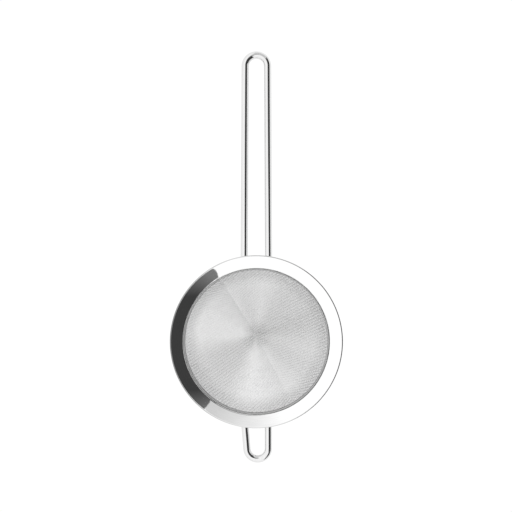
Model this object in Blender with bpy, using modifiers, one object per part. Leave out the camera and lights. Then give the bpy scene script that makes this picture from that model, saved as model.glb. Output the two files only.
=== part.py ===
"""Tea strainer: a conical mesh bowl in a turned steel rim, with a long wire handle and a short wire rest.

Metres, +Z up. The bowl's axis is Z, the bowl opens upward, and the handle points along +Y. The origin
is on the bowl's axis, level with the undersides of the two wires: that is the plane of the cup's edge
when the strainer sits on a cup.
"""

import math

import bmesh
import bpy
from mathutils import Vector

MM = 0.001

# Driving dimensions
RIM_DIAMETER = 80 * MM
HANDLE_REACH = 134.7 * MM  # from the bowl's axis to the handle's far end
REST_REACH = 56.4 * MM  # from the bowl's axis to the rest loop's far end
WIRE_DIAMETER = 3.5 * MM
MESH_EDGE_RADIUS = 33.2 * MM  # where the mesh comes out from under the crimp ring
BOWL_SLOPE = math.radians(45)
GAP = 0.3 * MM  # clearance between pieces that touch on the real object

# Rim band: turned sheet with a level land at the lip, a flange sloping down inward, and a collar
RIM_SHEET = 0.6 * MM
LAND_WIDTH = 0.8 * MM
FLANGE_SLOPE = math.radians(10)
FLANGE_BEND = 0.75 * MM  # radius of the sheet's middle where the flange turns into the collar
COLLAR_DEPTH = 4.9 * MM  # from the land's top to the collar's lower edge

# Crimp ring: thin sheet, with a bead that curls out over the mesh's edge
RING_SHEET = 0.3 * MM
BEAD_RADIUS = 0.35 * MM
BEAD_DROP = 1.9 * MM  # from the land's top to the bead's top
RING_DROP = 3.7 * MM  # from the land's top to the ring's lower edge

# Mesh bowl
MESH_SHEET = 0.4 * MM
MESH_BEND = 1.0 * MM
TIP_RADIUS = 3.2 * MM

# Wires and welds
HANDLE_LEG_SPACING = 11.3 * MM  # between the legs' centrelines, at the rim
HANDLE_TIP_SPACING = 10.4 * MM  # the same, at the far end
REST_TIP_RADIUS = 4.9 * MM
REST_TIP_OFFSET = 0.5 * MM  # the hand-bent rest loop leans a little to +X
REST_LEFT_LEG = -5.5 * MM
REST_RIGHT_LEG = 5.4 * MM
WIRE_END_RADIUS = 36.9 * MM  # how near to the bowl's axis a leg's end comes, along Y
WELD_SIZE = (3.1 * MM, 2.3 * MM, 1.7 * MM)  # half-sizes of a weld puddle: across, along, high
WELD_SETBACK = 0.5 * MM  # from the leg's end out to the puddle's middle
WELD_LEVEL = 2.7 * MM

# Facets
ROUND_STEPS = 64
BEND_STEP = math.radians(15)

# Worked out
WIRE_RADIUS = WIRE_DIAMETER / 2
RIM_RADIUS = RIM_DIAMETER / 2
RING_RADIUS = MESH_EDGE_RADIUS + RING_SHEET / 2
SKIRT_RADIUS = MESH_EDGE_RADIUS + RING_SHEET + GAP + MESH_SHEET / 2
COLLAR_RADIUS = SKIRT_RADIUS + MESH_SHEET / 2 + GAP + RIM_SHEET / 2
LAND_INNER = RIM_RADIUS - LAND_WIDTH
FLANGE_RISE = (LAND_INNER - WIRE_END_RADIUS) * math.tan(FLANGE_SLOPE)
LAND_TOP = WIRE_DIAMETER + GAP + FLANGE_RISE + RIM_SHEET


def steel(name, colour, roughness):
    """A metal material."""
    material = bpy.data.materials.new(name)
    material.use_nodes = True
    shader = material.node_tree.nodes["Principled BSDF"]
    shader.inputs["Base Color"].default_value = (*colour, 1)
    shader.inputs["Metallic"].default_value = 1
    shader.inputs["Roughness"].default_value = roughness
    return material


def add_object(name, data, collection, material=None):
    """A new object in a collection. One without a material is a cutter, which isn't part of the model."""
    made = bpy.data.objects.new(name, data)
    collection.objects.link(made)
    if material:
        data.materials.append(material)
    else:
        made.hide_render = True
        made.display_type = "WIRE"
    return made


def arc(centre, radius, start, end):
    """Points (x, y) along an arc, both ends included. The angles run from +X towards +Y."""
    steps = max(1, math.ceil(abs(end - start) / BEND_STEP))
    turns = [start + (end - start) * i / steps for i in range(steps + 1)]
    return [
        (centre[0] + radius * math.cos(a), centre[1] + radius * math.sin(a))
        for a in turns
    ]


def turned_sheet(name, profile, sheet, collection, material=None):
    """A profile of (radius, height) points down the sheet's middle, turned about Z and thickened."""
    mesh = bpy.data.meshes.new(name)
    edges = [(i, i + 1) for i in range(len(profile) - 1)]
    mesh.from_pydata([(r, 0, z) for r, z in profile], edges, [])
    made = add_object(name, mesh, collection, material)
    turn = made.modifiers.new("Turn", "SCREW")
    turn.steps = turn.render_steps = ROUND_STEPS
    turn.use_merge_vertices = True
    turn.merge_threshold = 0.00001
    turn.use_smooth_shade = True
    thicken = made.modifiers.new("Sheet", "SOLIDIFY")
    thicken.thickness = sheet
    thicken.offset = 0
    thicken.use_even_offset = True
    return made


def rim_profile():
    """The rim band's middle: level land, sloping flange, rounded bend, upright collar."""
    middle = LAND_TOP - RIM_SHEET / 2
    bend_end = COLLAR_RADIUS + FLANGE_BEND * (1 - math.sin(FLANGE_SLOPE))
    bend_top = middle - (LAND_INNER - bend_end) * math.tan(FLANGE_SLOPE)
    centre = (COLLAR_RADIUS + FLANGE_BEND, bend_top - FLANGE_BEND * math.cos(FLANGE_SLOPE))
    bend = arc(centre, FLANGE_BEND, math.pi / 2 + FLANGE_SLOPE, math.pi)
    lower_edge = (COLLAR_RADIUS, LAND_TOP - COLLAR_DEPTH)
    return [(RIM_RADIUS, middle), (LAND_INNER, middle), *bend, lower_edge]


def ring_profile():
    """The crimp ring's middle: a bead that curls outward at the top, and a short upright wall."""
    centre = (RING_RADIUS + BEAD_RADIUS, LAND_TOP - BEAD_DROP - RING_SHEET / 2 - BEAD_RADIUS)
    bead = arc(centre, BEAD_RADIUS, math.radians(20), math.pi)
    return [*bead, (RING_RADIUS, LAND_TOP - RING_DROP)]


def bowl_profile():
    """The mesh's middle: a skirt behind the crimp ring, a bend, a straight cone and a rounded tip."""
    bend_centre = (SKIRT_RADIUS - MESH_BEND, LAND_TOP - RING_DROP)
    bend = arc(bend_centre, MESH_BEND, 0, BOWL_SLOPE - math.pi / 2)
    skirt_top = LAND_TOP - BEAD_DROP - RING_SHEET - GAP - BEAD_RADIUS - MESH_SHEET
    bend_r, bend_z = bend[-1]
    tip_r = TIP_RADIUS * math.sin(BOWL_SLOPE)
    tip_z = bend_z - (bend_r - tip_r) * math.tan(BOWL_SLOPE)
    tip_centre = (0, tip_z + TIP_RADIUS * math.cos(BOWL_SLOPE))
    tip = arc(tip_centre, TIP_RADIUS, BOWL_SLOPE - math.pi / 2, -math.pi / 2)
    return [(SKIRT_RADIUS, skirt_top), *bend, *tip[:-1], (0, tip[-1][1])]


def touch_angle(centre, radius, end, side):
    """Where on a circle a straight leg from a point outside touches it. side is 1 or -1."""
    away = (end[0] - centre[0], end[1] - centre[1])
    return math.atan2(away[1], away[0]) + side * math.acos(radius / math.hypot(*away))


def loop_route(centre, radius, first_end, last_end, side):
    """A U of wire: a straight leg, a round end that both legs run into smoothly, a straight leg."""
    start = touch_angle(centre, radius, first_end, side)
    end = touch_angle(centre, radius, last_end, -side)
    while (end - start) * side < 0:
        end += side * math.tau
    return [first_end, *arc(centre, radius, start, end), last_end]


def wire(name, route, collection, material):
    """A round wire that lies on the plane z = 0, with flat cut ends."""
    curve = bpy.data.curves.new(name, "CURVE")
    curve.dimensions = "3D"
    curve.twist_mode = "Z_UP"
    curve.bevel_depth = WIRE_RADIUS
    curve.bevel_resolution = 4
    curve.use_fill_caps = True
    spline = curve.splines.new("POLY")
    spline.points.add(len(route) - 1)
    for point, (x, y) in zip(spline.points, route):
        point.co = (x, y, WIRE_RADIUS, 1)
        point.radius = 1
    return add_object(name, curve, collection, material)


def leg_cutter(name, route, collection):
    """A leg's end with clearance all round it, from just past its cut face to beyond the rim."""
    end, further = Vector((*route[0], WIRE_RADIUS)), Vector((*route[1], WIRE_RADIUS))
    along = (further - end).normalized()
    length = 2 * (RIM_RADIUS - WIRE_END_RADIUS)
    mesh = bpy.data.meshes.new(name)
    cylinder = bmesh.new()
    radius = WIRE_RADIUS + GAP
    bmesh.ops.create_cone(
        cylinder, cap_ends=True, segments=24, radius1=radius, radius2=radius, depth=length
    )
    cylinder.to_mesh(mesh)
    cylinder.free()
    cutter = add_object(name, mesh, collection)
    cutter.location = end + along * (length / 2 - GAP)
    cutter.rotation_euler = along.to_track_quat("Z", "Y").to_euler()
    return cutter


def weld(name, route, rim_cutter, parts, cutters, material):
    """A puddle of weld around the end of a leg, in the corner between the wire and the flange."""
    mesh = bpy.data.meshes.new(name)
    puddle = bmesh.new()
    bmesh.ops.create_uvsphere(puddle, u_segments=20, v_segments=10, radius=1)
    bmesh.ops.scale(puddle, vec=WELD_SIZE, verts=puddle.verts)
    puddle.to_mesh(mesh)
    puddle.free()
    mesh.shade_smooth()
    made = add_object(name, mesh, parts, material)
    end, further = Vector(route[0]), Vector(route[1])
    middle = end + (further - end).normalized() * WELD_SETBACK
    made.location = (*middle, WELD_LEVEL)
    for cutter in (leg_cutter(name + "_leg_cutter", route, cutters), rim_cutter):
        cut = made.modifiers.new("Cut", "BOOLEAN")
        cut.operation = "DIFFERENCE"
        cut.solver = "EXACT"
        cut.object = cutter
    return made


def clear_scene():
    """Removes the objects and collections that are there already."""
    for old in list(bpy.data.objects):
        bpy.data.objects.remove(old, do_unlink=True)
    for old in list(bpy.data.collections):
        bpy.data.collections.remove(old)


def new_collection(name):
    """A collection in the scene."""
    made = bpy.data.collections.new(name)
    bpy.context.scene.collection.children.link(made)
    return made


def build():
    """The whole strainer."""
    clear_scene()
    parts = new_collection("tea_strainer")
    cutters = new_collection("cutters")

    polished = steel("rim_steel", (0.80, 0.80, 0.81), 0.10)
    turned_sheet("rim_band", rim_profile(), RIM_SHEET, parts, polished)
    crimped = steel("ring_steel", (0.72, 0.72, 0.73), 0.18)
    turned_sheet("crimp_ring", ring_profile(), RING_SHEET, parts, crimped)
    woven = steel("mesh_steel", (0.66, 0.67, 0.69), 0.30)
    turned_sheet("mesh_bowl", bowl_profile(), MESH_SHEET, parts, woven)

    handle_radius = HANDLE_TIP_SPACING / 2
    handle_centre = (0, HANDLE_REACH - WIRE_RADIUS - handle_radius)
    handle_left = (-HANDLE_LEG_SPACING / 2, WIRE_END_RADIUS)
    handle_right = (HANDLE_LEG_SPACING / 2, WIRE_END_RADIUS)
    handle = loop_route(handle_centre, handle_radius, handle_left, handle_right, -1)
    wire("handle_wire", handle, parts, steel("handle_steel", (0.76, 0.76, 0.77), 0.14))

    rest_centre = (REST_TIP_OFFSET, -(REST_REACH - WIRE_RADIUS - REST_TIP_RADIUS))
    rest_left = (REST_LEFT_LEG, -WIRE_END_RADIUS)
    rest_right = (REST_RIGHT_LEG, -WIRE_END_RADIUS)
    rest = loop_route(rest_centre, REST_TIP_RADIUS, rest_left, rest_right, 1)
    wire("rest_wire", rest, parts, steel("rest_steel", (0.76, 0.76, 0.77), 0.15))

    rim_cutter = turned_sheet("rim_cutter", rim_profile(), RIM_SHEET + 2 * GAP, cutters)
    legs = {
        "handle_weld_left": handle,
        "handle_weld_right": handle[::-1],
        "rest_weld_left": rest,
        "rest_weld_right": rest[::-1],
    }
    for name, route in legs.items():
        weld(name, route, rim_cutter, parts, cutters, steel(name + "_steel", (0.55, 0.54, 0.52), 0.4))


build()
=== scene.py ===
"""The looks of the tea strainer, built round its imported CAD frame.

Metres, +Z up. The bowl's axis is Z, the bowl opens upward and the handle points along +Y. The turned
rings, the bent wires and the weld puddles replace their CAD nodes one for one. The bowl's plain CAD
skin is replaced by cloth woven from single steel wires.
"""

import math

import bpy
import numpy as np
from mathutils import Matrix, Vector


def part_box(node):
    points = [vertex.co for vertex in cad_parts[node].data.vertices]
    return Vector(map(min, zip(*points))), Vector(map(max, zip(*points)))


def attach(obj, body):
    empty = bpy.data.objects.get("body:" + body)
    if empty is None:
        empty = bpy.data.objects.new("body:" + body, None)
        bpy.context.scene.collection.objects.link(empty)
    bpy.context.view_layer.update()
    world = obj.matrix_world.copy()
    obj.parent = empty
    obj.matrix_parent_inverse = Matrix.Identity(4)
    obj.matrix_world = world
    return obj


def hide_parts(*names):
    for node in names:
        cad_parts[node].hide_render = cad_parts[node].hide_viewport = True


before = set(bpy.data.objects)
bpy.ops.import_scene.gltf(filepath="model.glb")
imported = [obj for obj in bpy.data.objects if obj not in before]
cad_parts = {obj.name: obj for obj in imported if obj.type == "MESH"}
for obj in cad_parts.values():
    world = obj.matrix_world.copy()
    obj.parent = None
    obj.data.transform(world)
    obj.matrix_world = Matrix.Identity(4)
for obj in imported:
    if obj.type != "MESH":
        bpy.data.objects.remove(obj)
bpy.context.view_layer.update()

MM = 0.001

# Sizes that the frame gives
RIM_LOW, RIM_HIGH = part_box("rim_band")
RING_LOW, RING_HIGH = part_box("crimp_ring")
BOWL_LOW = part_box("mesh_bowl")[0]
HANDLE_LOW, HANDLE_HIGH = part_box("handle_wire")
REST_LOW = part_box("rest_wire")[0]
RIM_RADIUS = RIM_HIGH[0]
WIRE_RADIUS = (HANDLE_HIGH[2] - HANDLE_LOW[2]) / 2

# Turned rings
RIM_SHEET = 0.5 * MM
LIP_DROP = 1.25 * MM
FLANGE_SLOPE = math.radians(10)
COLLAR_BORE = 33.9 * MM  # inner radius
TOP_ROUND = 0.45 * MM  # how round the flange's outer edge is
BORE_ROUND = 0.5 * MM  # how round its inner edge is
CUT_ROUND = 0.12 * MM  # how round the sheet's cut edges are
INNER_ROUND = 0.04 * MM  # how round the inside of a bend is
RING_SHEET = 0.3 * MM
RING_RADIUS = 33.2 * MM  # radii of the ring are those of its sheet's middle
BEAD_RADIUS = 0.26 * MM
BEAD_LIFT = 0.65 * MM  # how far the bead's top stands above the CAD ring
TURN_STEPS = 288
BEND_STEPS = 12
EDGE_STEPS = 10
CAP_STEPS = 8
BEAD_STEPS = 14
WALL_STEPS = 6

# Woven bowl
CLOTH_WIRE = 0.07 * MM  # radius of one wire of the cloth
THICK_WIRE = 0.118 * MM  # radius of the thicker warp wires
THICK_EVERY = 3  # one warp wire in this many is thicker
CLOTH_PITCH = 0.5 * MM
CLOTH_TURN = math.radians(30)  # the weft's direction at the tip, from +X
CONE_SLOPE = math.radians(45)
TIP_RADIUS = 3.2 * MM
SKIRT_BEND = 1.0 * MM
SKIRT_RADIUS = 33.66 * MM
SKIRT_HEIGHT = 0.9 * MM
CLOTH_STEPS = 2  # rings for each crossing
CLOTH_SIDES = 5
SHORTEST_WIRE = 4  # rings
INNER_SHARE = 3  # the inner piece of a quarter holds one row in this many
PROFILE_POINTS = 4001
QUARTER = math.pi / 2 * math.cos(CONE_SLOPE)  # the flat angle of one quarter of the cone
FLAT_TIP = TIP_RADIUS / math.tan(CONE_SLOPE)  # the flat cone's length under the rounded tip
TRUE_TIP = TIP_RADIUS * CONE_SLOPE  # the rounded tip's own length

# Bent wires
HANDLE_TIP_RADIUS = 5.2 * MM
REST_TIP_RADIUS = 5.0 * MM
REST_TIP_OFFSET = 0.58 * MM
HANDLE_LEGS = (-5.65 * MM, 5.65 * MM)
REST_LEGS = (-5.5 * MM, 5.57 * MM)
LEG_END = 36.9 * MM  # how near to the bowl's axis a leg's end comes, along Y
WIRE_END_ROUND = 0.5 * MM
WIRE_SIDES = 40
LOOP_STEPS = 64
LEG_STEPS = 24

# Weld puddles
WELD_SIZE = np.array([3.0, 2.3, 1.6]) * MM  # half-sizes: across the leg, along it and high
WELD_SETBACK = 0.4 * MM  # from the leg's end out to the puddle's middle
WELD_LEVEL = 3.0 * MM
WELD_DRAWS = 6  # random phases drawn for a puddle, one more than its lumps use
WELD_LUMPS = 5
LUMP_DEPTH = 0.05  # of the first lump, as a share of the puddle's size
WELD_SIDES = 48
WELD_ROWS = 23
WELD_SINK = 0.2 * MM  # how far a puddle's flat top goes into the flange
# A point of the flange's underside: how far in from the rim's edge and how far below the rim's top
UNDERSIDE_IN, UNDERSIDE_DOWN = 0.7 * MM, RIM_SHEET * 1.1

# Steel: colour, roughness, and the noise's scale along X, Y and Z
RIM_COLOUR, RIM_ROUGHNESS = (0.90, 0.90, 0.90), 0.02
RING_COLOUR, RING_ROUGHNESS = (0.5, 0.5, 0.5), 0.45
WIRE_COLOUR, WIRE_ROUGHNESS = (0.78, 0.78, 0.78), 0.06
WELD_COLOUR, WELD_ROUGHNESS = (0.5, 0.48, 0.46), 0.35
CLOTH_COLOUR, CLOTH_ROUGHNESS = (0.73, 0.73, 0.73), 0.42
TURNED_GRAIN = (4000, 6, 4000)  # along radius, turn and height
WIRE_GRAIN = (3000, 60, 3000)
WELD_GRAIN = (900, 900, 900)
CLOTH_GRAIN = (300, 300, 300)
WELD_BUMP = 0.05 * MM
NOISE_DETAIL = 4.0
NOISE_LOW, NOISE_HIGH = 0.3, 0.7  # levels of the noise that give the ends of the factors below
DARKEST, LIGHTEST = 0.95, 1.03  # factors for the colour
SMOOTHEST, ROUGHEST = 0.7, 1.4  # factors for the roughness

# Painted shade and sheen, and a darker cloth tip, as factors for the steel's colour
LIP_SHADE_FADE = (39.4 * MM, 39.55 * MM)  # radii between which the painted shade of the lip sets in
LIP_SHADE_TONE = 0.49
LIP_SHADE_SWING = -0.27  # added at the sides, taken away at the handle and the rest
TIP_FADE = (0.0, 8.0 * MM)  # radii between which the cloth lightens from its tip
TIP_TONE = 0.4
EDGE_SHADE_FADE = (26 * MM, 32.5 * MM)  # radii between which painted shade darkens the cloth towards its edge under the rims
EDGE_SHADE_TONE = 0.58
# Painted sheen in waves round the bowl's axis: how many, how strong, and where a peak is, in degrees
PAINTED_CLOTH_SHEEN = [(1, 0.215, 196), (2, 0.155, 123), (3, 0.14, 39), (4, 0.135, 81), (8, 0.05, 37)]

# Studio
HORIZON, ZENITH = 1.02, 1.15  # how bright the surround is there
ZENITH_START = 0.9  # the sine of the height from which it is as bright as at the zenith
FLOOR_HALF = 3
FLOOR_GAP = 0.1 * MM  # under the bowl's tip
FLOOR_GLOW = 1.03
CARD_HEIGHT = 0.84
CARD_GAP = 5 * MM  # from the dark card up to the grey one
# Glow at the origin, its change per metre along X, Y and Z, and its least and most
DARK_GLOW = (0.505, (-3.0, -0.1, 0), 0.05, 0.2)
GREY_GLOW = (1.03, (-2.76, -0.75, 0), 0.7, ZENITH)
# Outlines seen from above, placed so that the steel mirrors them as in the photo
DARK_CARD = [
    (0.0949, -0.2381), (0.0937, -0.244), (0.0962, -0.2485), (0.1015, -0.2523),
    (0.304, -0.29), (0.50, -0.995), (0.90, -2.4), (3.5, -2.4),
    (3.5, -0.4), (1.7, 0.1), (1.7, 2.4), (0.66, 0.855), (0.02, 0.31), (-0.02, 0.26),
    (-0.02, 0.175), (0.03, 0.135), (0.1, 0.112), (0.1212, 0.0778), (0.1176, 0.077), (0.1108, 0.0673),
]
GREY_CARD = [(-0.15, 0.07), (0.2, 0.07), (1.6, 2.4), (-0.15, 2.4)]

# Camera
CAMERA_AIM = (-0.185 * MM, 39.6 * MM)
CAMERA_HEIGHT = 440 * MM  # above the rim's top
FIELD = 236.3 * MM  # how much of the rim's plane the picture spans
SENSOR_WIDTH = 36  # mm, as Blender counts it


def arc(centre, radius, start, end, steps):
    """Points along an arc in a plane, both ends included."""
    turns = np.linspace(start, end, steps + 1)
    return np.c_[centre[0] + radius * np.cos(turns), centre[1] + radius * np.sin(turns)]


def unit(vectors):
    """Each row at length 1."""
    return vectors / np.linalg.norm(vectors, axis=-1, keepdims=True)


def add_piece(name, vertices, faces, node, material):
    """A smooth mesh that stands for a CAD node and moves with the object's one body."""
    mesh = bpy.data.meshes.new(name)
    mesh.from_pydata(vertices, [], faces)
    mesh.shade_smooth()
    mesh.materials.append(material)
    piece = bpy.data.objects.new(name, mesh)
    bpy.context.scene.collection.objects.link(piece)
    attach(piece, "root")
    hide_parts(node)


def sheet_outline(path, sheet):
    """The closed outline of a bent sheet: a path down its middle, thickened, with rounded edges."""
    ahead = unit(np.gradient(path, axis=0))
    left = np.c_[-ahead[:, 1], ahead[:, 0]] * sheet / 2
    first = math.atan2(left[0, 1], left[0, 0])
    last = math.atan2(left[-1, 1], left[-1, 0])
    end_cap = arc(path[-1], sheet / 2, last, last - math.pi, CAP_STEPS)[1:-1]
    start_cap = arc(path[0], sheet / 2, first + math.pi, first, CAP_STEPS)[1:-1]
    return np.vstack([path + left, end_cap, (path - left)[::-1], start_cap])


def turned(name, outline, node, material):
    """A closed outline of (radius, height) turned about Z."""
    count = len(outline)
    around = np.linspace(0, math.tau, TURN_STEPS, endpoint=False)
    radius, height = outline[:, 0], outline[:, 1]
    vertices = np.stack(
        [
            np.outer(np.cos(around), radius),
            np.outer(np.sin(around), radius),
            np.tile(height, (TURN_STEPS, 1)),
        ],
        axis=-1,
    ).reshape(-1, 3)
    step, along = np.meshgrid(np.arange(TURN_STEPS), np.arange(count), indexing="ij")
    next_step, next_along = (step + 1) % TURN_STEPS, (along + 1) % count
    corners = [(step, along), (step, next_along), (next_step, next_along), (next_step, along)]
    faces = np.stack([s * count + a for s, a in corners], axis=-1).reshape(-1, 4)
    twice_area = np.sum(radius * np.roll(height, -1) - np.roll(radius, -1) * height)
    if twice_area > 0:
        faces = faces[:, ::-1]
    add_piece(name, vertices.tolist(), faces.tolist(), node, material)


def straight(start, end, steps):
    """Points of a straight run between two others, closer together at its ends."""
    share = (1 - np.cos(np.linspace(0, math.pi, steps + 1)[1:-1])) / 2
    return np.asarray(start) + np.outer(share, np.subtract(end, start))


def rounded(corners, radii):
    """A closed polygon with each corner turned into an arc of its own radius."""
    count = len(corners)
    bends = []
    for i, (corner, radius) in enumerate(zip(corners, radii)):
        corner = np.array(corner)
        before = unit(np.array(corners[i - 1]) - corner)
        after = unit(np.array(corners[(i + 1) % count]) - corner)
        half = math.acos(float(before @ after)) / 2
        centre = corner + unit(before + after) * radius / math.sin(half)
        start = corner + before * radius / math.tan(half) - centre
        end = corner + after * radius / math.tan(half) - centre
        first = math.atan2(start[1], start[0])
        sweep = math.remainder(math.atan2(end[1], end[0]) - first, math.tau)
        bends.append(arc(centre, radius, first, first + sweep, BEND_STEPS))
    points = []
    for i, bend in enumerate(bends):
        points += [*bend, *straight(bend[-1], bends[(i + 1) % count][0], EDGE_STEPS)]
    return np.array(points)


def make_rim(material):
    """The rim band: short upright lip, sloping flange and upright collar, all one bent sheet."""
    rise = math.tan(FLANGE_SLOPE)
    top = RIM_HIGH[2] + TOP_ROUND * ((1 + math.sin(FLANGE_SLOPE)) / math.cos(FLANGE_SLOPE) - 1)
    under = top - RIM_SHEET / math.cos(FLANGE_SLOPE)
    lip_low = RIM_HIGH[2] - LIP_DROP
    lip_inside = RIM_RADIUS - RIM_SHEET
    collar_outside = COLLAR_BORE + RIM_SHEET
    corners_and_radii = [
        ((RIM_RADIUS, lip_low), CUT_ROUND),
        ((RIM_RADIUS, top), TOP_ROUND),
        ((COLLAR_BORE, top - (RIM_RADIUS - COLLAR_BORE) * rise), BORE_ROUND),
        ((COLLAR_BORE, RIM_LOW[2]), CUT_ROUND),
        ((collar_outside, RIM_LOW[2]), CUT_ROUND),
        ((collar_outside, under - (RIM_RADIUS - collar_outside) * rise), INNER_ROUND),
        ((lip_inside, under - RIM_SHEET * rise), INNER_ROUND),
        ((lip_inside, lip_low), CUT_ROUND),
    ]
    turned("rim", rounded(*zip(*corners_and_radii)), "rim_band", material)


def make_ring(material):
    """The crimp ring: a thin wall with a bead that curls out over the cloth's edge."""
    bead_height = RING_HIGH[2] + BEAD_LIFT - RING_SHEET / 2 - BEAD_RADIUS
    bead = arc((RING_RADIUS + BEAD_RADIUS, bead_height), BEAD_RADIUS, 0, math.pi, BEAD_STEPS)
    foot = (RING_RADIUS, RING_LOW[2] + RING_SHEET / 2)
    path = np.array([*bead, *straight(bead[-1], foot, WALL_STEPS), foot])
    outline = sheet_outline(path, RING_SHEET)
    turned("crimp_ring_rolled", outline, "crimp_ring", material)


def tube_faces(rings, sides):
    """Faces of a closed tube whose vertices go round it ring by ring."""
    row, side = np.meshgrid(np.arange(rings - 1), np.arange(sides), indexing="ij")
    next_side = (side + 1) % sides
    corners = [(row, side), (row, next_side), (row + 1, next_side), (row + 1, side)]
    quads = np.stack([r * sides + s for r, s in corners], axis=-1).reshape(-1, 4)
    caps = [list(range(sides))[::-1], list(range((rings - 1) * sides, rings * sides))]
    return quads.tolist() + caps


def tube(centres, ups, radii, sides):
    """Vertices and faces of a closed tube along a run of points. ups point across the run."""
    ahead = unit(np.gradient(centres, axis=0))
    across = unit(np.cross(ahead, ups))
    up = np.cross(across, ahead)
    around = np.linspace(0, math.tau, sides, endpoint=False)[None, :, None]
    ring = np.cos(around) * up[:, None] + np.sin(around) * across[:, None]
    vertices = centres[:, None] + np.asarray(radii).reshape(-1, 1, 1) * ring
    return vertices.reshape(-1, 3), tube_faces(len(centres), sides)


def touch_angle(centre, radius, end, side):
    """Where on a circle a straight leg from a point outside touches it. side is 1 or -1."""
    away = (end[0] - centre[0], end[1] - centre[1])
    return math.atan2(away[1], away[0]) + side * math.acos(radius / math.hypot(*away))


def make_loop(name, legs, leg_end, tip, tip_radius, node, material):
    """A U of round wire lying level, its legs running smoothly into a round end."""
    side = -1 if tip[1] > 0 else 1
    first, last = (legs[0], leg_end), (legs[1], leg_end)
    start = touch_angle(tip, tip_radius, first, side)
    end = touch_angle(tip, tip_radius, last, -side)
    while (end - start) * side < 0:
        end += side * math.tau
    bend = arc(tip, tip_radius, start, end, LOOP_STEPS)
    first_leg = [first, *straight(first, bend[0], LEG_STEPS)]
    last_leg = [*straight(bend[-1], last, LEG_STEPS), last]
    flat = np.array([*first_leg, *bend, *last_leg])
    centres = np.c_[flat, np.full(len(flat), WIRE_RADIUS)]
    length = np.r_[0, np.cumsum(np.linalg.norm(np.diff(flat, axis=0), axis=1))]
    to_end = np.clip(np.minimum(length, length[-1] - length) / WIRE_END_ROUND, 0, 1)
    radii = WIRE_RADIUS - WIRE_END_ROUND * (1 - np.sqrt(1 - (1 - to_end) ** 2))
    ups = np.tile((0.0, 0.0, 1.0), (len(flat), 1))
    vertices, faces = tube(centres, ups, radii, WIRE_SIDES)
    add_piece(name, vertices.tolist(), faces, node, material)


def bowl_profile():
    """The cloth's middle: distances along it from the tip, with the radius, height and slope there."""
    cone_run = SKIRT_RADIUS - SKIRT_BEND * (1 - math.sin(CONE_SLOPE)) - TIP_RADIUS * math.sin(CONE_SLOPE)
    cone = cone_run / math.cos(CONE_SLOPE)
    bend = SKIRT_BEND * (math.pi / 2 - CONE_SLOPE)
    stops = np.cumsum([0, TRUE_TIP, cone, bend, SKIRT_HEIGHT])
    slopes = [0, CONE_SLOPE, CONE_SLOPE, math.pi / 2, math.pi / 2]
    along = np.linspace(0, stops[-1], PROFILE_POINTS)
    slope = np.interp(along, stops, slopes)
    step = along[1]
    middle = (slope[1:] + slope[:-1]) / 2
    radius = np.r_[0, np.cumsum(np.cos(middle) * step)]
    height = np.r_[0, np.cumsum(np.sin(middle) * step)] + BOWL_LOW[2] + 2 * CLOTH_WIRE
    return along, radius, height, slope


def cloth_wire(line, number, t, reach, profile):
    """One wire of the cloth, a V about one of the four lines, or None where it would be very short.

    t counts the crossings along the wire from the line. reach is how far the flat cloth goes.
    """
    along, radius, height, slope = profile
    x = CLOTH_PITCH * (number + 0.5 + math.cos(QUARTER) * t * np.tanh(t))
    y = CLOTH_PITCH * math.sin(QUARTER) * t
    out = np.hypot(x, y)
    inside = out < reach
    if inside.sum() < SHORTEST_WIRE:
        return None
    place = np.interp(out[inside], [0, FLAT_TIP, reach], [0, TRUE_TIP, along[-1]])
    r = np.interp(place, along, radius)
    z = np.interp(place, along, height)
    a = np.interp(place, along, slope)
    turn = np.arctan2(y, x)[inside] / math.cos(CONE_SLOPE) + line * math.pi / 2 + CLOTH_TURN
    inward = np.c_[-np.sin(a) * np.cos(turn), -np.sin(a) * np.sin(turn), np.cos(a)]
    over = CLOTH_WIRE * (-1) ** number * np.sin(math.pi * t[inside])
    centres = np.c_[r * np.cos(turn), r * np.sin(turn), z] + over[:, None] * inward
    thick = line % 2 == 1 and number % THICK_EVERY == 1
    radii = np.full(len(r), THICK_WIRE if thick else CLOTH_WIRE)
    return tube(centres, inward, radii, CLOTH_SIDES)


def joined(meshes):
    """The vertices and faces of several meshes as those of one."""
    faces = []
    count = 0
    for part_vertices, part_faces in meshes:
        faces += [[i + count for i in face] for face in part_faces]
        count += len(part_vertices)
    return np.vstack([part_vertices for part_vertices, _ in meshes]), faces


def make_cloth(material):
    """The bowl, woven plain from single wires and drawn into a cone.

    Cloth drawn into a cone can't stretch along its wires, so its square holes shear into diamonds.
    Four lines of symmetry run down the cone from the tip. Rolled out flat, each quarter between two of
    them is an even lattice of diamonds, and each wire is a V that turns on the line it crosses.
    """
    profile = bowl_profile()
    reach = profile[0][-1] + FLAT_TIP - TRUE_TIP
    farthest = int(reach / CLOTH_PITCH / math.sin(QUARTER)) + 1
    t = np.arange(-farthest * CLOTH_STEPS, farthest * CLOTH_STEPS + 1) / CLOTH_STEPS
    rows = int(reach / CLOTH_PITCH)
    split = rows // INNER_SHARE
    for line, side in enumerate(["right", "handle", "left", "rest"]):
        for part, numbers in (("inner", range(split)), ("outer", range(split, rows))):
            wires = [cloth_wire(line, number, t, reach, profile) for number in numbers]
            vertices, faces = joined([wire for wire in wires if wire])
            name = f"mesh_wires_{side}_{part}"
            add_piece(name, vertices.tolist(), faces, "mesh_bowl", material)


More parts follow.
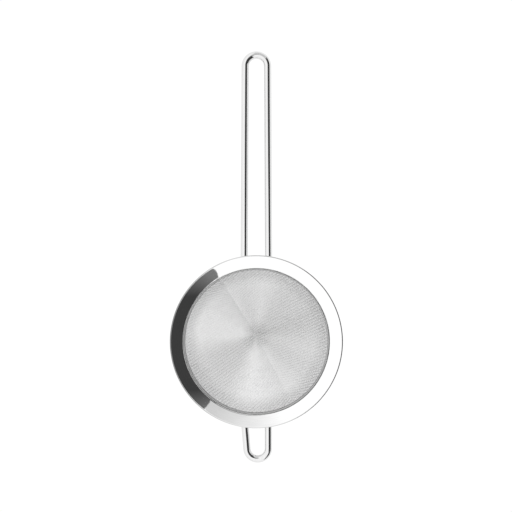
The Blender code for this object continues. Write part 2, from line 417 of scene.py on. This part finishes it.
def make_weld(name, leg, leg_end, material):
    """A puddle of weld under the flange, round the end of a leg."""
    side = math.copysign(1, leg_end)
    middle = np.array([leg, leg_end + side * WELD_SETBACK, WELD_LEVEL])
    turns = np.linspace(0, math.tau, WELD_SIDES, endpoint=False)
    rises = np.linspace(-math.pi / 2, math.pi / 2, WELD_ROWS + 2)[1:-1]
    rng = np.random.default_rng(sum(map(ord, name)))
    phases = rng.uniform(0, math.tau, WELD_DRAWS)
    points = []
    for rise in rises:
        lumps = sum(
            np.sin((k + 2) * turns + phases[k] + 2 * rise) * LUMP_DEPTH / (k + 1)
            for k in range(WELD_LUMPS)
        )
        level = np.full(WELD_SIDES, np.sin(rise))
        ring = np.c_[np.cos(rise) * np.cos(turns), np.cos(rise) * np.sin(turns), level]
        points.append(middle + ring * (1 + lumps)[:, None] * WELD_SIZE)
    points = np.vstack(points)
    inward = RIM_RADIUS - UNDERSIDE_IN - np.hypot(points[:, 0], points[:, 1])
    under = RIM_HIGH[2] - UNDERSIDE_DOWN - inward * math.tan(FLANGE_SLOPE)
    points[:, 2] = np.minimum(points[:, 2], under + WELD_SINK)
    faces = tube_faces(WELD_ROWS, WELD_SIDES)
    add_piece(name + "_bead", points.tolist(), faces, name, material)


def add_node(tree, kind, inputs=(), **settings):
    """A shader node with its settings made and its inputs set or linked."""
    node = tree.nodes.new("ShaderNode" + kind)
    for key, value in settings.items():
        setattr(node, key, value)
    for key, value in dict(inputs).items():
        if isinstance(value, bpy.types.NodeSocket):
            tree.links.new(value, node.inputs[key])
        else:
            node.inputs[key].default_value = value
    return node


def sum_of(tree, operation, *values):
    """The result of a Math node."""
    return add_node(tree, "Math", dict(enumerate(values)), operation=operation).outputs[0]


def ramp(tree, value, low, high, at_low, at_high, shape="LINEAR"):
    """What goes from at_low to at_high while a value goes from low to high."""
    inputs = {
        "Value": value, "From Min": low, "From Max": high, "To Min": at_low, "To Max": at_high,
    }
    return add_node(tree, "MapRange", inputs, interpolation_type=shape).outputs[0]


def round_place(tree):
    """A point's distance from the bowl's axis, its turn about the axis, and its place."""
    place = add_node(tree, "TexCoord").outputs["Object"]
    split = add_node(tree, "SeparateXYZ", {0: place})
    level = add_node(tree, "VectorMath", {0: place, 1: (1, 1, 0)}, operation="MULTIPLY").outputs[0]
    radius = add_node(tree, "VectorMath", {0: level}, operation="LENGTH").outputs["Value"]
    turn = sum_of(tree, "ARCTAN2", split.outputs["Y"], split.outputs["X"])
    return radius, turn, place


def steel(name, colour, roughness, grain, turned_grain=False, tone=None, grain_depth=0.0):
    """Bare steel. Its grain makes it a little uneven in colour, polish and height.

    grain gives the noise's scale along the object's X, Y and Z, or with turned_grain along radius, turn
    and height. tone, given the node tree, the radius and the turn, returns a factor for the colour.
    """
    material = bpy.data.materials.new(name)
    material.use_nodes = True
    tree = material.node_tree
    shader = tree.nodes["Principled BSDF"]
    shader.inputs["Metallic"].default_value = 1
    radius, turn, place = round_place(tree)
    if turned_grain:
        height = add_node(tree, "SeparateXYZ", {0: place}).outputs["Z"]
        place = add_node(tree, "CombineXYZ", {0: radius, 1: turn, 2: height}).outputs[0]
    scaled = add_node(tree, "VectorMath", {0: place, 1: grain}, operation="MULTIPLY").outputs[0]
    noise_inputs = {"Vector": scaled, "Scale": 1.0, "Detail": NOISE_DETAIL}
    noise = add_node(tree, "TexNoise", noise_inputs).outputs["Fac"]
    shade = ramp(tree, noise, NOISE_LOW, NOISE_HIGH, DARKEST, LIGHTEST)
    if tone:
        # the tone given here paints shade and sheen into the colour
        shade = sum_of(tree, "MULTIPLY", shade, tone(tree, radius, turn))
    tinted = add_node(tree, "VectorMath", {0: colour, "Scale": shade}, operation="SCALE").outputs[0]
    tree.links.new(tinted, shader.inputs["Base Color"])
    polish = ramp(tree, noise, NOISE_LOW, NOISE_HIGH, SMOOTHEST * roughness, ROUGHEST * roughness)
    tree.links.new(polish, shader.inputs["Roughness"])
    if grain_depth:
        bump = add_node(tree, "Bump", {"Height": noise, "Distance": grain_depth, "Strength": 1.0})
        tree.links.new(bump.outputs[0], shader.inputs["Normal"])
    return material


def paint_lip_shade(tree, radius, turn):
    """Painted shade on the flange's outer edge, standing in for dark reflections there, darkest at the
    sides.
    """
    side = sum_of(tree, "COSINE", sum_of(tree, "MULTIPLY", turn, 2.0))
    lip_shade_level = sum_of(tree, "MULTIPLY_ADD", side, LIP_SHADE_SWING, LIP_SHADE_TONE)
    # painted shade: the lip's colour is darkened towards its edge
    return ramp(tree, radius, *LIP_SHADE_FADE, 1.0, lip_shade_level)


def cloth_shade_and_sheen(tree, radius, turn):
    """The cloth is darker towards its tip, painted shade darkens it towards its edge under the rims, and
    painted sheen makes it uneven round the axis.
    """
    tone = 1.0
    # painted sheen: waves of lighter and darker tone round the axis
    for times, size, peak in PAINTED_CLOTH_SHEEN:
        angle = sum_of(tree, "MULTIPLY_ADD", turn, float(times), -math.radians(peak) * times)
        wave = sum_of(tree, "MULTIPLY", sum_of(tree, "COSINE", angle), size)
        tone = sum_of(tree, "ADD", wave, tone)
    tip = ramp(tree, radius, *TIP_FADE, TIP_TONE, 1.0)
    # painted shade towards the cloth's edge, under the rims
    edge = ramp(tree, radius, *EDGE_SHADE_FADE, 1.0, EDGE_SHADE_TONE, "SMOOTHSTEP")
    return sum_of(tree, "MULTIPLY", tone, sum_of(tree, "MULTIPLY", tip, edge))


def glow(name, level, slope=None, least=None, most=None):
    """A plain surface that gives light of its own.

    It is level at the origin. With a slope it changes by that per metre, between least and most.
    """
    material = bpy.data.materials.new(name)
    material.use_nodes = True
    tree = material.node_tree
    shader = tree.nodes["Principled BSDF"]
    shader.inputs["Base Color"].default_value = (0, 0, 0, 1)
    shader.inputs["Specular IOR Level"].default_value = 0
    shader.inputs["Roughness"].default_value = 1
    shader.inputs["Emission Color"].default_value = (1, 1, 1, 1)
    shader.inputs["Emission Strength"].default_value = level
    if slope:
        place = add_node(tree, "TexCoord").outputs["Object"]
        change = add_node(tree, "VectorMath", {0: place, 1: slope}, operation="DOT_PRODUCT")
        strength = sum_of(tree, "ADD", change.outputs["Value"], level)
        strength = sum_of(tree, "MINIMUM", sum_of(tree, "MAXIMUM", strength, least), most)
        tree.links.new(strength, shader.inputs["Emission Strength"])
    return material


def panel(name, corners, height, material):
    """A level polygon of the studio."""
    mesh = bpy.data.meshes.new(name)
    mesh.from_pydata([(x, y, height) for x, y in corners], [], [list(range(len(corners)))])
    mesh.materials.append(material)
    made = bpy.data.objects.new(name, mesh)
    bpy.context.scene.collection.objects.link(made)
    return made


def make_surround():
    """A soft white surround, a little brighter overhead."""
    world = bpy.data.worlds.new("surround")
    bpy.context.scene.world = world
    world.use_nodes = True
    tree = world.node_tree
    place = add_node(tree, "TexCoord").outputs["Generated"]
    height = add_node(tree, "SeparateXYZ", {0: place}).outputs["Z"]
    level = ramp(tree, height, 0.0, ZENITH_START, HORIZON, ZENITH)
    tree.links.new(level, tree.nodes["Background"].inputs["Strength"])
    tree.nodes["Background"].inputs["Color"].default_value = (1, 1, 1, 1)


def make_studio():
    """A white floor under the cone's tip, the surround, and a dark and a grey card overhead."""
    half = FLOOR_HALF
    square = [(-half, -half), (half, -half), (half, half), (-half, half)]
    panel("floor", square, BOWL_LOW[2] - FLOOR_GAP, glow("floor_white", FLOOR_GLOW))
    make_surround()
    dark = glow("card_dark", *DARK_GLOW)
    grey = glow("card_grey", *GREY_GLOW)
    for name, corners, material, lift in (
        ("dark_card", DARK_CARD, dark, 0), ("grey_card", GREY_CARD, grey, CARD_GAP),
    ):
        card = panel(name, corners, CARD_HEIGHT + lift, material)
        card.visible_camera = False
        card.visible_shadow = False


def make_camera():
    """Looks straight down from above the middle of the object."""
    data = bpy.data.cameras.new("camera")
    data.sensor_width = SENSOR_WIDTH
    data.lens = data.sensor_width * CAMERA_HEIGHT / FIELD
    camera = bpy.data.objects.new("camera", data)
    camera.location = (*CAMERA_AIM, RIM_HIGH[2] + CAMERA_HEIGHT)
    bpy.context.scene.collection.objects.link(camera)
    bpy.context.scene.camera = camera
    bpy.context.scene.view_settings.view_transform = "Standard"


def make_wires(material):
    """The long handle loop and the short rest loop."""
    handle_tip = (0, HANDLE_HIGH[1] - WIRE_RADIUS - HANDLE_TIP_RADIUS)
    rest_tip = (REST_TIP_OFFSET, REST_LOW[1] + WIRE_RADIUS + REST_TIP_RADIUS)
    make_loop(
        "handle_loop", HANDLE_LEGS, LEG_END, handle_tip, HANDLE_TIP_RADIUS, "handle_wire", material
    )
    make_loop("rest_loop", REST_LEGS, -LEG_END, rest_tip, REST_TIP_RADIUS, "rest_wire", material)


def make_welds(material):
    """The four puddles, one at each leg's end."""
    make_weld("handle_weld_left", HANDLE_LEGS[0], LEG_END, material)
    make_weld("handle_weld_right", HANDLE_LEGS[1], LEG_END, material)
    make_weld("rest_weld_left", REST_LEGS[0], -LEG_END, material)
    make_weld("rest_weld_right", REST_LEGS[1], -LEG_END, material)


make_camera()
make_studio()
make_rim(steel("polished_rim", RIM_COLOUR, RIM_ROUGHNESS, TURNED_GRAIN, True, paint_lip_shade))
make_ring(steel("rolled_ring", RING_COLOUR, RING_ROUGHNESS, TURNED_GRAIN, True))
make_wires(steel("polished_wire", WIRE_COLOUR, WIRE_ROUGHNESS, WIRE_GRAIN))
make_welds(steel("weld_metal", WELD_COLOUR, WELD_ROUGHNESS, WELD_GRAIN, grain_depth=WELD_BUMP))
make_cloth(steel("woven_wire", CLOTH_COLOUR, CLOTH_ROUGHNESS, CLOTH_GRAIN, tone=cloth_shade_and_sheen))
